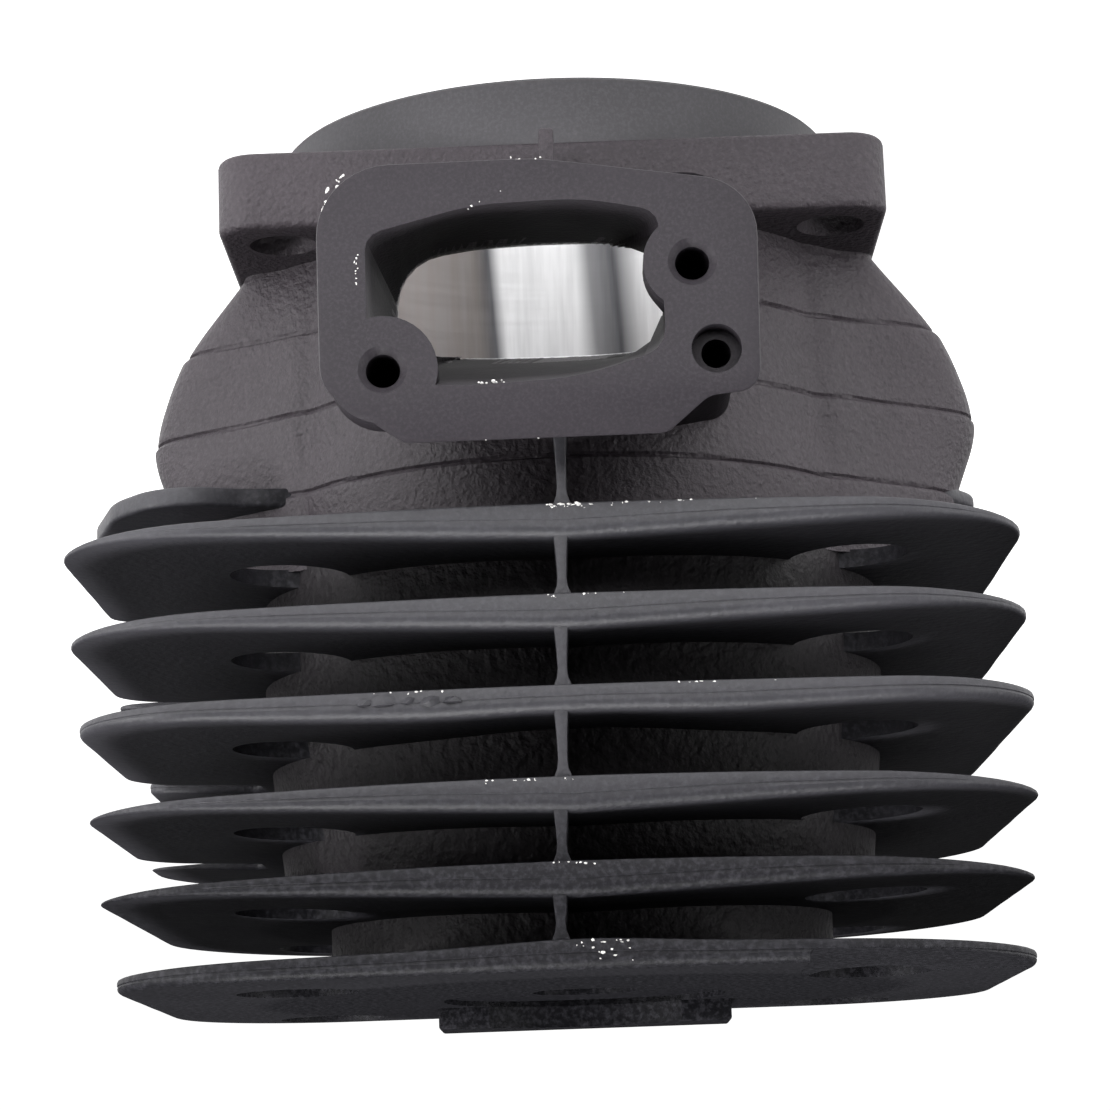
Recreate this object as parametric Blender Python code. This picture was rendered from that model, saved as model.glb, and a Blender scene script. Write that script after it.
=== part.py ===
"""Air-cooled two-stroke cylinder with an integral head, standing on its crankcase spigot.

The bore axis is Z, the spigot's rim is at Z = 0, the head is at the top, the intake flange faces -Y
and the exhaust flange faces +Y. Lengths below are in millimetres, and the meshes are made in metres.
The real cylinder is one casting round one bright bore surface. Here the casting is divided into the
regions that a person would name, with a small gap between neighbours.
"""

import math

import bmesh
import bpy
from mathutils import Vector

MM = 0.001
GAP = 0.3

# Bore and spigot
BORE_R = 30.0
LINER_R = 30.9
WALL_R = LINER_R + GAP
SPIGOT_R = 34.05

# Crankcase flange
FACE_Z = 7.9
FLANGE_TOP = 17.0
FLANGE_HALF_X = 38.3
FLANGE_HALF_Y = 34.5
FLANGE_CORNER = 4.5
BOLT_X = 32.0
BOLT_Y = 27.0
BOLT_R = 3.95
ACCESS_R = 6.88

# Barrel and head: (radius, height) up the outside
BARREL_LOW = FLANGE_TOP + GAP
BARREL_TOP = 90.5
BARREL_OUTSIDE = [(35.3, BARREL_LOW), (37.2, 50.0), (37.6, 62.0), (37.2, 72.0), (36.2, 82.0), (35.3, BARREL_TOP)]
HEAD_LOW = BARREL_TOP + GAP
HEAD_OUTSIDE = [(33.6, HEAD_LOW), (33.6, 95.6), (31.4, 97.2), (29.8, 98.2), (29.8, 100.4)]
DOME_R = 26.0
DOME_HEIGHT = 5.5
PLUG_R = 6.25
SPOTFACE_R = 16.9
SPOTFACE_DEPTH = 0.7

# Cooling fins, from the crankcase end to the head end. FIN_TOPS is their upper face's height at DRAFT_X
FIN_THICK = 2.6
FIN_TOPS = [56.5, 66.4, 76.3, 86.1, 95.1]
FIN_LEFT_FRONT = [57.1, 56.4, 55.3, 54.2, 53.0]
FIN_LEFT_REAR = [58.4, 57.4, 54.2, 54.2, 52.4]
FIN_RIGHT = [51.5, 51.5, 51.5, 51.7, 51.3]
FIN_FRONT = 50.4
FIN_REAR = [41.0, 41.0, 41.0, 41.0, 41.0]
FIN_REAR_POWER = [3.6, 3.6, 3.6, 3.4, 3.2]
FRONT_POWER_LEFT = [6.0, 6.5, 6.5, 7.0, 7.5]
FRONT_POWER_RIGHT = [5.0, 5.0, 5.0, 4.4, 4.0]
SIDE_NOTCH = [(3.0, 7.5), (3.0, 9.5), (2.5, 13.0), (4.0, 14.0)]
# Casting draft: a fin thins away from the middle, more on its upper face than on its lower one
DRAFT_X = 32.0
DRAFT_UPPER = 0.034
DRAFT_LOWER = 0.01
LOW_FIN_BOTTOM = 44.1
HEAD_FIN_LOW = 100.7
HEAD_FIN_TOP = 103.9
HEAD_FIN_LEFT = 51.8
HEAD_FIN_RIGHT = 51.0
HEAD_FIN_REAR = 34.0
HEAD_FIN_DRAFT = 0.02

# Rear boss on the head fin
BOSS_HALF_X = 18.1
BOSS_FRONT = 14.4
BOSS_REAR = 22.9
BOSS_TOP = 106.5

# The thin webs that join neighbouring fins in the middle of the front
WEB_X = [0.7, 1.0, 1.3, 1.6, 2.0]
WEB_HALF = 0.6
WEB_FRONT = -49.6

# Intake flange, seen from the front as (x, z, corner radius)
INTAKE_FACE = -57.0
INTAKE_BACK = -49.0
INTAKE_OUTLINE = [
    (26.0, 17.3, 8.0), (2.0, 17.1, 30.0), (-21.7, 20.7, 6.5), (-21.2, 43.8, 2.6),
    (-15.6, 44.4, 3.0), (-11.0, 48.3, 2.2), (17.0, 48.4, 2.2), (25.9, 42.2, 5.0),
]
NECK_OUTLINE = [
    (23.2, 17.5, 5.0), (-19.2, 17.5, 5.0), (-19.0, 41.6, 3.0), (-10.0, 46.2, 3.0),
    (16.4, 46.3, 3.0), (23.2, 40.8, 4.0),
]
WINDOW = (4.75, 31.8, 15.8, 10.0)
INTAKE_PORT = (2.6, 26.3, 14.6, 6.5)
SCREW_BOSSES = [(19.1, 40.1, 5.8), (-14.4, 29.4, 5.3)]
SCREW_R = 1.85
SCREW_CHAMFER_R = 2.65
IMPULSE = (-16.6, 39.1)
IMPULSE_R = 1.6
IMPULSE_SEAT_R = 2.7

# Exhaust flange
EXHAUST_FACE = 57.0
EXHAUST_BACK = 49.5
EXHAUST_CENTRE_Z = 53.6
EXHAUST_HALF_X = 27.0
EXHAUST_HALF_Z = 12.0
EXHAUST_NECK_HALF_X = 17.0
EXHAUST_NECK_HALF_Z = 9.8
EXHAUST_PORT = (0.0, EXHAUST_CENTRE_Z, 12.5, 6.3)
EXHAUST_SCREW_X = 21.5
EXHAUST_SCREW_R = 2.5

# Transfer ducts: the +X duct's front half at five heights, from the barrel out to the middle of its side
DUCT_TOP = FIN_TOPS[0] - FIN_THICK - GAP
DUCT_SECTIONS = [
    (BARREL_LOW, [(29.8, -19.9), (33.5, -16.5), (36.8, -15.6), (38.0, -14.2), (38.2, -10.0), (38.2, -4.0)]),
    (26.0, [(30.1, -20.8), (35.0, -17.0), (40.5, -13.6), (43.4, -11.0), (44.3, -8.0), (44.4, -3.5)]),
    (35.7, [(30.9, -21.0), (37.5, -15.4), (44.5, -10.6), (47.8, -7.8), (49.0, -5.0), (49.2, -2.5)]),
    (46.0, [(31.7, -20.8), (37.5, -16.0), (42.8, -12.2), (45.6, -9.4), (47.1, -6.5), (47.4, -3.0)]),
    (DUCT_TOP, [(32.2, -20.8), (37.0, -16.8), (41.2, -13.4), (43.8, -10.4), (45.2, -7.0), (45.5, -3.0)]),
]
DUCT_STEPS = 4
DUCT_PASSAGE = [(32.0, 20.5), (37.4, 20.5), (41.4, 31.0), (42.4, 38.0), (42.4, 50.3), (32.0, 50.3)]
DUCT_PASSAGE_HALF_Y = 7.5
TRANSFER_LOW = (21.0, 27.0)
TRANSFER_HIGH = (44.0, 50.0)

# The pieces that the driver's four columns pass clear of
NOT_DRILLED = ("crankcase_flange", "intake_port_block", "exhaust_port_block", "rear_boss",
               "front_web_1", "front_web_2", "front_web_3", "front_web_4", "front_web_5")

ROUND = 72
HOLE = 32


def clear_scene():
    for old in list(bpy.data.objects):
        bpy.data.objects.remove(old, do_unlink=True)


def make_material(name, colour, roughness, metallic):
    material = bpy.data.materials.new(name)
    material.use_nodes = True
    shader = material.node_tree.nodes["Principled BSDF"]
    shader.inputs["Base Color"].default_value = (*colour, 1.0)
    shader.inputs["Roughness"].default_value = roughness
    shader.inputs["Metallic"].default_value = metallic
    return material


def finish_object(name, shape):
    """Links a bmesh as an object, its faces turned outwards and its round faces shaded smooth."""
    bmesh.ops.recalc_face_normals(shape, faces=shape.faces)
    mesh = bpy.data.meshes.new(name)
    shape.to_mesh(mesh)
    shape.free()
    mesh.shade_smooth()
    mesh.set_sharp_from_angle(angle=math.radians(35))
    made = bpy.data.objects.new(name, mesh)
    bpy.context.scene.collection.objects.link(made)
    return made


def extrude(name, points, travel):
    """One flat face through the points, extruded along a vector. Both are in millimetres."""
    shape = bmesh.new()
    face = shape.faces.new([shape.verts.new(Vector(point) * MM) for point in points])
    grown = bmesh.ops.extrude_face_region(shape, geom=[face])["geom"]
    moved = [item for item in grown if isinstance(item, bmesh.types.BMVert)]
    bmesh.ops.translate(shape, verts=moved, vec=Vector(travel) * MM)
    return finish_object(name, shape)


def prism(name, outline, low, high):
    """An outline in X and Y, extruded along Z."""
    return extrude(name, [(x, y, low) for x, y in outline], (0, 0, high - low))


def prism_y(name, outline, front, back):
    """An outline in X and Z, extruded along Y."""
    return extrude(name, [(x, front, z) for x, z in outline], (0, back - front, 0))


def revolve(name, profile, segments=ROUND):
    """A ring-shaped solid: a closed profile of (radius, z), spun about Z."""
    shape = bmesh.new()
    verts = [shape.verts.new(Vector((r, 0, z)) * MM) for r, z in profile]
    edges = [shape.edges.new((verts[i - 1], verts[i])) for i in range(len(verts))]
    bmesh.ops.spin(shape, geom=verts + edges, cent=(0, 0, 0), axis=(0, 0, 1), angle=2 * math.pi,
                   steps=segments, use_merge=True)
    return finish_object(name, shape)


def loft(name, rings):
    """A closed solid through rings of equal length, with a flat cap on the first and the last."""
    shape = bmesh.new()
    levels = [[shape.verts.new(Vector(point) * MM) for point in ring] for ring in rings]
    shape.faces.new(levels[0])
    shape.faces.new(levels[-1])
    for low, high in zip(levels, levels[1:]):
        for i in range(len(low)):
            shape.faces.new((low[i - 1], low[i], high[i], high[i - 1]))
    return finish_object(name, shape)


def circle(radius, x=0.0, y=0.0, segments=HOLE):
    turns = [2 * math.pi * i / segments for i in range(segments)]
    return [(x + radius * math.cos(t), y + radius * math.sin(t)) for t in turns]


def box_outline(x_low, x_high, y_low, y_high):
    return [(x_low, y_low), (x_high, y_low), (x_high, y_high), (x_low, y_high)]


def rounded(corners, steps=5):
    """A polygon of (x, y, radius) corners, each rounded by an arc through steps + 1 points."""
    outline = []
    for i, (x, y, radius) in enumerate(corners):
        here = Vector((x, y))
        before = (Vector(corners[i - 1][:2]) - here).normalized()
        after = (Vector(corners[(i + 1) % len(corners)][:2]) - here).normalized()
        half = before.angle(after) / 2
        reach = radius / math.tan(half)
        centre = here + (before + after).normalized() * radius / math.sin(half)
        start = here + before * reach - centre
        end = here + after * reach - centre
        for step in range(steps + 1):
            point = start.slerp(end, step / steps, start) if radius else start
            outline.append(tuple(centre + point.normalized() * radius))
    return outline


def signed_power(value, power):
    return math.copysign(abs(value) ** power, value)


def superellipse(x, y, half_x, half_y, power, segments=HOLE):
    """A box with full, round corners; a higher power makes them squarer."""
    outline = []
    for i in range(segments):
        turn = 2 * math.pi * (i + 0.5) / segments
        across = signed_power(math.cos(turn), 2 / power)
        up = signed_power(math.sin(turn), 2 / power)
        outline.append((x + half_x * across, y + half_y * up))
    return outline


def add_boolean(target, tool, operation):
    modifier = target.modifiers.new(f"{operation.lower()}_{tool.name}", "BOOLEAN")
    modifier.operation = operation
    modifier.object = tool
    tool.hide_render = True
    tool.display_type = "WIRE"


def cut(target, *tools):
    for tool in tools:
        add_boolean(target, tool, "DIFFERENCE")


def join(target, *tools):
    for tool in tools:
        add_boolean(target, tool, "UNION")


def radius_at(z):
    """The barrel's outside radius at a height."""
    for (low_r, low_z), (high_r, high_z) in zip(BARREL_OUTSIDE, BARREL_OUTSIDE[1:]):
        if z <= high_z:
            break
    share = min(1.0, max(0.0, (z - low_z) / (high_z - low_z)))
    return low_r + (high_r - low_r) * share


def bolt_places():
    return [(sx * BOLT_X, sy * BOLT_Y) for sx in (-1, 1) for sy in (-1, 1)]


def drill_all(targets, name, outlines, low, high):
    """Cuts the same upright holes through several solids."""
    for index, outline in enumerate(outlines):
        cut_tool = prism(f"cutter_{name}_{index}", outline, low, high)
        for target in targets:
            cut(target, cut_tool)


# ---- the pieces --------------------------------------------------------------------------------


def make_crankcase_flange():
    corner = [(sx * FLANGE_HALF_X, sy * FLANGE_HALF_Y, FLANGE_CORNER) for sx, sy in ((1, 1), (-1, 1), (-1, -1), (1, -1))]
    plate = prism("crankcase_flange", rounded(corner), FACE_Z, FLANGE_TOP)
    spigot = prism("cutter_spigot", circle(SPIGOT_R, segments=ROUND), 0.0, FACE_Z + 1.0)
    join(plate, spigot)
    cut(plate, prism("cutter_flange_bore", circle(WALL_R, segments=ROUND), -5.0, FLANGE_TOP + 5.0))
    outlines = [circle(BOLT_R, x, y, 24) for x, y in bolt_places()]
    drill_all([plate], "bolt", outlines, FACE_Z - 5.0, FLANGE_TOP + 5.0)
    return plate


def make_barrel():
    inside = [(WALL_R, BARREL_TOP), (WALL_R, BARREL_LOW)]
    return revolve("cylinder_barrel", BARREL_OUTSIDE + inside)


def make_liner():
    profile = [(BORE_R, GAP), (LINER_R, GAP), (LINER_R, BARREL_TOP - GAP), (BORE_R, BARREL_TOP - GAP)]
    return revolve("bore_liner", profile)


def dome_profile():
    """The combustion dome's underside, from its rim in to the plug hole, as a circular arc."""
    ball = (DOME_R**2 + DOME_HEIGHT**2) / (2 * DOME_HEIGHT)
    radii = [DOME_R, 22.0, 17.0, 12.0, PLUG_R]
    return [(r, HEAD_LOW + math.sqrt(ball**2 - r**2) - (ball - DOME_HEIGHT)) for r in radii]


def make_head():
    top = HEAD_OUTSIDE[-1][1]
    profile = HEAD_OUTSIDE + [(PLUG_R, top)] + dome_profile()[::-1]
    return revolve("combustion_head", profile)


def duct_section(z, grow=0.0):
    """The +X duct's outline at a height: round its outside, then back along the barrel."""
    for (low_z, low), (high_z, high) in zip(DUCT_SECTIONS, DUCT_SECTIONS[1:]):
        if z <= high_z + 1e-6:
            break
    share = (z - low_z) / (high_z - low_z)
    front = [(a + (c - a) * share + grow, b + (d - b) * share - grow) for (a, b), (c, d) in zip(low, high)]
    rear = [(x, -y) for x, y in reversed(front)]
    inner_r = radius_at(z) + GAP - 2 * grow
    tip = math.atan2(rear[-1][1], rear[-1][0])
    turns = [tip - 2 * tip * i / 12 for i in range(13)]
    return front + rear + [(inner_r * math.cos(t), inner_r * math.sin(t)) for t in turns]


def duct_rings(side, grow=0.0):
    heights = []
    for (low, _), (high, _) in zip(DUCT_SECTIONS, DUCT_SECTIONS[1:]):
        heights += [low + (high - low) * i / DUCT_STEPS for i in range(DUCT_STEPS)]
    heights.append(DUCT_SECTIONS[-1][0])
    return [[(side * x, y, z) for x, y in duct_section(z, grow)] for z in heights]


def make_duct(name, side):
    duct = loft(name, duct_rings(side))
    passage = [(side * x, z) for x, z in DUCT_PASSAGE]
    cut(duct, prism_y(f"cutter_{name}", passage, -DUCT_PASSAGE_HALF_Y, DUCT_PASSAGE_HALF_Y))
    return duct


def make_barrel_cone():
    """The barrel's outside plus the gap: what the flange necks and the low fin are cut back by."""
    profile = [(r + GAP, z) for r, z in BARREL_OUTSIDE]
    rings = []
    for r, z in [(profile[0][0], 0.0)] + profile:
        rings.append([(x, y, z) for x, y in circle(r, segments=ROUND)])
    return loft("cutter_barrel_cone", rings)


def make_intake(cone):
    intake = prism_y("intake_port_block", rounded(INTAKE_OUTLINE), INTAKE_FACE, INTAKE_BACK)
    neck = prism_y("cutter_intake_neck", rounded(NECK_OUTLINE, 3), INTAKE_BACK - 1.0, -20.0)
    join(intake, neck)
    rings = []
    for shape, power, y in ((WINDOW, 6, INTAKE_FACE - 1.0), (INTAKE_PORT, 4, -27.0)):
        rings.append([(x, y, z) for x, z in superellipse(*shape, power)])
    cut(intake, loft("cutter_intake_passage", rings))
    for index, (x, z, r) in enumerate(SCREW_BOSSES):
        join(intake, prism_y(f"cutter_screw_boss_{index}", circle(r, x, z, 24), INTAKE_FACE, -44.0))
    cut(intake, cone)
    for index, (x, z, _) in enumerate(SCREW_BOSSES):
        cut(intake, prism_y(f"cutter_screw_{index}", circle(SCREW_R, x, z, 16), INTAKE_FACE - 1.0, -45.0))
        mouth = [
            [(u, INTAKE_FACE - 0.2, v) for u, v in circle(SCREW_CHAMFER_R + 0.2, x, z, 16)],
            [(u, INTAKE_FACE + 1.0, v) for u, v in circle(SCREW_CHAMFER_R - 1.0, x, z, 16)],
        ]
        cut(intake, loft(f"cutter_screw_mouth_{index}", mouth))
    x, z = IMPULSE
    cut(intake, prism_y("cutter_impulse_seat", circle(IMPULSE_SEAT_R, x, z, 20), INTAKE_FACE - 1.0, INTAKE_FACE + 2.4))
    cut(intake, prism_y("cutter_impulse", circle(IMPULSE_R, x, z, 16), INTAKE_FACE + 1.0, -44.0))
    return intake


def make_exhaust(cone):
    half_x, half_z = EXHAUST_HALF_X, EXHAUST_HALF_Z
    plate = superellipse(0.0, EXHAUST_CENTRE_Z, half_x, half_z, 3.2, 48)
    exhaust = prism_y("exhaust_port_block", plate, EXHAUST_BACK, EXHAUST_FACE)
    neck = superellipse(0.0, EXHAUST_CENTRE_Z, EXHAUST_NECK_HALF_X, EXHAUST_NECK_HALF_Z, 5)
    join(exhaust, prism_y("cutter_exhaust_neck", neck, 25.0, EXHAUST_BACK + 1.0))
    cut(exhaust, cone)
    passage = superellipse(*EXHAUST_PORT, 4)
    cut(exhaust, prism_y("cutter_exhaust_passage", passage, 25.0, EXHAUST_FACE + 1.0))
    for side in (-1, 1):
        hole = circle(EXHAUST_SCREW_R, side * EXHAUST_SCREW_X, EXHAUST_CENTRE_Z, 16)
        cut(exhaust, prism_y(f"cutter_exhaust_screw_{side + 1}", hole, EXHAUST_BACK - 3.0, EXHAUST_FACE + 1.0))
    return exhaust


def fin_outline(left_front, left_rear, right, rear, powers):
    """A fin's plan, from three superellipses: the left and right front corners and the rear. Left is +X."""
    left_power, right_power, rear_power = powers
    outline = []
    for i in range(96):
        turn = 2 * math.pi * (i + 0.5) / 96
        leftward, rearward = math.cos(turn) > 0, math.sin(turn) > 0
        power = rear_power if rearward else (left_power if leftward else right_power)
        half = (left_rear if rearward else left_front) if leftward else right
        depth = rear if rearward else FIN_FRONT
        across = half * signed_power(math.cos(turn), 2 / power)
        outline.append((across, depth * signed_power(math.sin(turn), 2 / power)))
    return outline


def add_draft(fin, low, top, lower, upper, pivot=DRAFT_X):
    """Folds a fin's two faces along its middle line, so that it thins away from there."""
    shape = bmesh.new()
    shape.from_mesh(fin.data)
    every = shape.verts[:] + shape.edges[:] + shape.faces[:]
    bmesh.ops.bisect_plane(shape, geom=every, plane_co=(0, 0, 0), plane_no=(1, 0, 0))
    middle = (top + low) / 2 * MM
    for vertex in shape.verts:
        off = abs(vertex.co.x) - pivot * MM
        vertex.co.z += -upper * off if vertex.co.z > middle else lower * off
    shape.to_mesh(fin.data)
    shape.free()


def notch_outline(start, end):
    """The gap in a fin's left side, with its mouth flared as the cast corners are round."""
    return [(39.5, start), (48.0, start), (51.5, start - 2.5), (54.5, start - 7.0), (70.0, start - 30.0),
            (70.0, end + 4.0), (57.0, end + 1.5), (52.0, end), (39.5, end)]


def make_fin(index):
    top = FIN_TOPS[index]
    low = top - FIN_THICK
    powers = (FRONT_POWER_LEFT[index], FRONT_POWER_RIGHT[index], FIN_REAR_POWER[index])
    plan = fin_outline(FIN_LEFT_FRONT[index], FIN_LEFT_REAR[index], FIN_RIGHT[index], FIN_REAR[index], powers)
    fin = prism(f"cooling_fin_{index + 1}", plan, low, top)
    add_draft(fin, low, top, DRAFT_LOWER, DRAFT_UPPER)
    core = max(radius_at(low), radius_at(top)) + GAP if top < BARREL_TOP else HEAD_OUTSIDE[0][0] + GAP
    cut(fin, prism(f"cutter_fin_core_{index + 1}", circle(core, segments=ROUND), low - 3.0, top + 3.0))
    if index < len(SIDE_NOTCH):
        cut(fin, prism(f"cutter_notch_{index + 1}", notch_outline(*SIDE_NOTCH[index]), low - 3.0, top + 3.0))
    return fin


def make_web(index):
    """The web between fin index + 1 and the next fin, from their front edge back to the barrel."""
    low = FIN_TOPS[index] + DRAFT_X * DRAFT_UPPER + GAP
    above = [top - FIN_THICK - DRAFT_X * DRAFT_LOWER for top in FIN_TOPS[1:]] + [HEAD_FIN_LOW]
    high = above[index] - GAP
    wall = max(radius_at(low), radius_at(high)) if low < BARREL_TOP else HEAD_OUTSIDE[0][0]
    outline = box_outline(WEB_X[index] - WEB_HALF, WEB_X[index] + WEB_HALF, WEB_FRONT, -wall - GAP)
    return prism(f"front_web_{index + 1}", outline, low, high)


def make_low_fin(name, side, outline, cone):
    """One side of the lowest fin, which only shows outside the duct on that side."""
    fin = prism(name, outline, LOW_FIN_BOTTOM, LOW_FIN_BOTTOM + FIN_THICK)
    around = loft(f"cutter_{name}", duct_rings(side, GAP))
    cut(fin, around, cone)
    return fin


def low_fin_left():
    rear = [(58.0, 14.0), (57.0, 22.0), (54.0, 29.5), (48.0, 35.0), (38.0, 38.5), (22.0, 40.5), (22.0, 27.0)]
    return [(31.0, -20.0), (38.0, -22.3), (46.4, -23.3), (51.0, -20.4), (54.2, -14.8), (57.2, -7.0), (58.0, 0.0)] + rear + [(33.0, 0.0)]


def low_fin_right():
    front = [(-33.0, 0.0), (-22.0, 27.0), (-22.0, 40.5), (-38.0, 38.5), (-45.0, 34.5), (-49.0, 27.0)]
    return front + [(-50.0, 18.0), (-50.0, 6.0), (-49.2, -3.0), (-47.4, -13.0), (-44.4, -18.0), (-38.0, -19.5)]


def make_head_fin():
    plan = fin_outline(HEAD_FIN_LEFT, HEAD_FIN_LEFT - 0.4, HEAD_FIN_RIGHT, HEAD_FIN_REAR, (8.0, 4.0, 2.3))
    fin = prism("cooling_fin_6", plan, HEAD_FIN_LOW, HEAD_FIN_TOP)
    add_draft(fin, HEAD_FIN_LOW, HEAD_FIN_TOP, HEAD_FIN_DRAFT, 0.0, pivot=0.0)
    spotface = circle(SPOTFACE_R, segments=48)
    cut(fin, prism("cutter_spotface", spotface, HEAD_FIN_TOP - SPOTFACE_DEPTH, BOSS_TOP + 1.0))
    cut(fin, prism("cutter_plug_hole", circle(PLUG_R), HEAD_FIN_LOW - 1.0, BOSS_TOP + 1.0))
    return fin


def make_rear_boss():
    block = box_outline(-BOSS_HALF_X, BOSS_HALF_X, BOSS_FRONT, BOSS_REAR)
    boss = prism("rear_boss", block, HEAD_FIN_TOP + GAP, BOSS_TOP)
    cut(boss, prism("cutter_boss_clearance", circle(SPOTFACE_R, segments=48), HEAD_FIN_TOP - 1.0, BOSS_TOP + 1.0))
    return boss


def cut_ports(barrel, liner):
    """The windows through the bore wall: intake, exhaust and a pair for each transfer duct."""
    windows = []
    intake = superellipse(*INTAKE_PORT, 4)
    windows.append(prism_y("cutter_intake_port", intake, -45.0, -10.0))
    exhaust = superellipse(*EXHAUST_PORT, 4)
    windows.append(prism_y("cutter_exhaust_port", exhaust, 10.0, 45.0))
    for index, (low, high) in enumerate((TRANSFER_LOW, TRANSFER_HIGH)):
        slot = box_outline(-45.0, 45.0, -DUCT_PASSAGE_HALF_Y, DUCT_PASSAGE_HALF_Y)
        windows.append(prism(f"cutter_transfer_{index}", slot, low, high))
    for window in windows:
        cut(barrel, window)
        cut(liner, window)


def main():
    clear_scene()
    paint = make_material("black_paint", (0.028, 0.027, 0.029), 0.6, 0.0)
    bright = make_material("bright_bore", (0.72, 0.72, 0.74), 0.16, 1.0)

    cone = make_barrel_cone()
    barrel = make_barrel()
    head = make_head()
    liner = make_liner()
    cut_ports(barrel, liner)

    painted = [make_crankcase_flange(), barrel, head]
    painted += [make_duct("transfer_duct_left", 1), make_duct("transfer_duct_right", -1)]
    painted += [make_intake(cone), make_exhaust(cone)]
    painted.append(make_low_fin("cooling_fin_0_left", 1, low_fin_left(), cone))
    painted.append(make_low_fin("cooling_fin_0_right", -1, low_fin_right(), cone))
    fins = [make_fin(index) for index in range(len(FIN_TOPS))]
    head_fin = make_head_fin()
    painted += fins + [head_fin, make_rear_boss()]
    painted += [make_web(index) for index in range(len(FIN_TOPS))]

    neck_clearance = box_outline(-EXHAUST_NECK_HALF_X - GAP, EXHAUST_NECK_HALF_X + GAP, 30.0, 60.0)
    cut(fins[0], prism("cutter_neck_clearance", neck_clearance, FIN_TOPS[0] - 5.0, FIN_TOPS[0] + 5.0))
    access = [circle(ACCESS_R, x, y) for x, y in bolt_places()]
    drill_all([piece for piece in painted if piece.name not in NOT_DRILLED], "access", access,
              FLANGE_TOP + 0.1, BOSS_TOP + 5.0)

    for piece in painted:
        piece.data.materials.append(paint)
    liner.data.materials.append(bright)


main()
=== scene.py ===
"""The finished look of the two-stroke cylinder: rounded cast surfaces, black paint and the bright bore.

Lengths are in millimetres until a mesh is made. The bore axis is Z, the intake faces -Y.
"""

import math
import random

import bmesh
import bpy
from mathutils import Matrix, Vector, noise


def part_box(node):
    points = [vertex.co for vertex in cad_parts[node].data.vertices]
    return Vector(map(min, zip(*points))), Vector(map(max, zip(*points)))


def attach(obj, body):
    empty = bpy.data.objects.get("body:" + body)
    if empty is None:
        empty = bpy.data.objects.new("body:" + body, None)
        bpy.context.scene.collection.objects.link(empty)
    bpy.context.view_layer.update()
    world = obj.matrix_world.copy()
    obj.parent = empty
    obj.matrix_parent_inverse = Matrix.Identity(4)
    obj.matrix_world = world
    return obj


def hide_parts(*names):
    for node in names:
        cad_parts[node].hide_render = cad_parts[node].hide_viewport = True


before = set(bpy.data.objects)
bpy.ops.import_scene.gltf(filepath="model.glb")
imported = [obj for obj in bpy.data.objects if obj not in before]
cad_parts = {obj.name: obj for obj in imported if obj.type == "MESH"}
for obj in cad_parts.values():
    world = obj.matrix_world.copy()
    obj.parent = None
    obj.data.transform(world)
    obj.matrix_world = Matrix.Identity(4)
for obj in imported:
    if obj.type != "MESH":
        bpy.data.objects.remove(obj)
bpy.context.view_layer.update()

MM = 0.001
BODY = "root"


def node_box(name):
    low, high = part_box(name)
    return Vector(low) / MM, Vector(high) / MM


# ---- sizes read from the frame -------------------------------------------------------------------

_, flange_high = node_box("crankcase_flange")
liner_low, liner_high = node_box("bore_liner")
intake_low, intake_high = node_box("intake_port_block")
exhaust_low, exhaust_high = node_box("exhaust_port_block")
head_low, _ = node_box("combustion_head")
boss_low, boss_high = node_box("rear_boss")
fin_boxes = [node_box(f"cooling_fin_{i}") for i in range(1, 7)]

FLANGE_TOP = flange_high.z
FIN_TOPS = [high.z for _, high in fin_boxes]
FIN_LOWS = [low.z for low, _ in fin_boxes]
# The intake face stands back from the CAD's, so that flakes on it stay inside the CAD's box
FLAKE_ROOM = 0.08
INTAKE_FACE = intake_low.y + FLAKE_ROOM

# ---- sizes of the finished shapes: R is a radius, and left is +X ----------------------------------

SPIGOT_R = 34.05
FACE_Z = 7.9
EAR_EXTRA = 0.9
WALL_R = 31.2
BORE_R = 30.0
HEAD_TOP = 101.5
BOLT = (32.0, 27.0)
BOLT_R = 3.95
ACCESS_R = 6.88
PLUG_R = 6.25
SPOTFACE_R = 16.9
# The large fins are counted from 0, and the last is the one on the head end
HEAD_FIN = 5
# Each fin's plan: half width and front corner radius on the left (+X) and the right, then the rear
FIN_LEFT = [(57.1, 18.0), (56.4, 18.5), (55.3, 17.0), (54.1, 16.0), (53.0, 16.0), (51.5, 18.0)]
FIN_RIGHT = [(51.5, 22.0), (51.4, 20.0), (51.4, 18.0), (51.7, 22.0), (51.0, 24.0), (50.7, 24.0)]
FIN_LEFT_REAR = [58.2, 57.2, 54.0, 54.0, 52.2, 51.2]
FIN_FRONT = 50.1
FIN_REAR = [(40.8, 17.0), (40.8, 17.0), (40.8, 17.0), (40.3, 18.0), (40.0, 20.0), (36.6, 22.0)]
# The gap in the left side: front edge, rear edge, corner radius of the plate in front
SIDE_NOTCH = [(4.0, 7.6, 3.2), (4.8, 9.6, 5.5), (6.0, 13.0, 7.0), (7.3, 14.2, 6.5)]
NOTCH_X = 39.6
# Thickness of the flat plate that a fin is cut from, and the width of the strips it is folded by
BLANK = 3.0
STRIP = 3.0
# How a fin thins towards its tips: slope of its head side, rise of its crankcase side at 45 mm
UPPER_SLOPE = [0.039, 0.039, 0.032, 0.039, 0.039]
LOWER_RISE = [0.8, 0.7, 0.45, 1.1, 1.2, 1.4]
LOWER_RISE_AT = 45.0
WEB_X = [0.5, 0.8, 1.1, 1.4, 1.8, 2.2]
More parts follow.
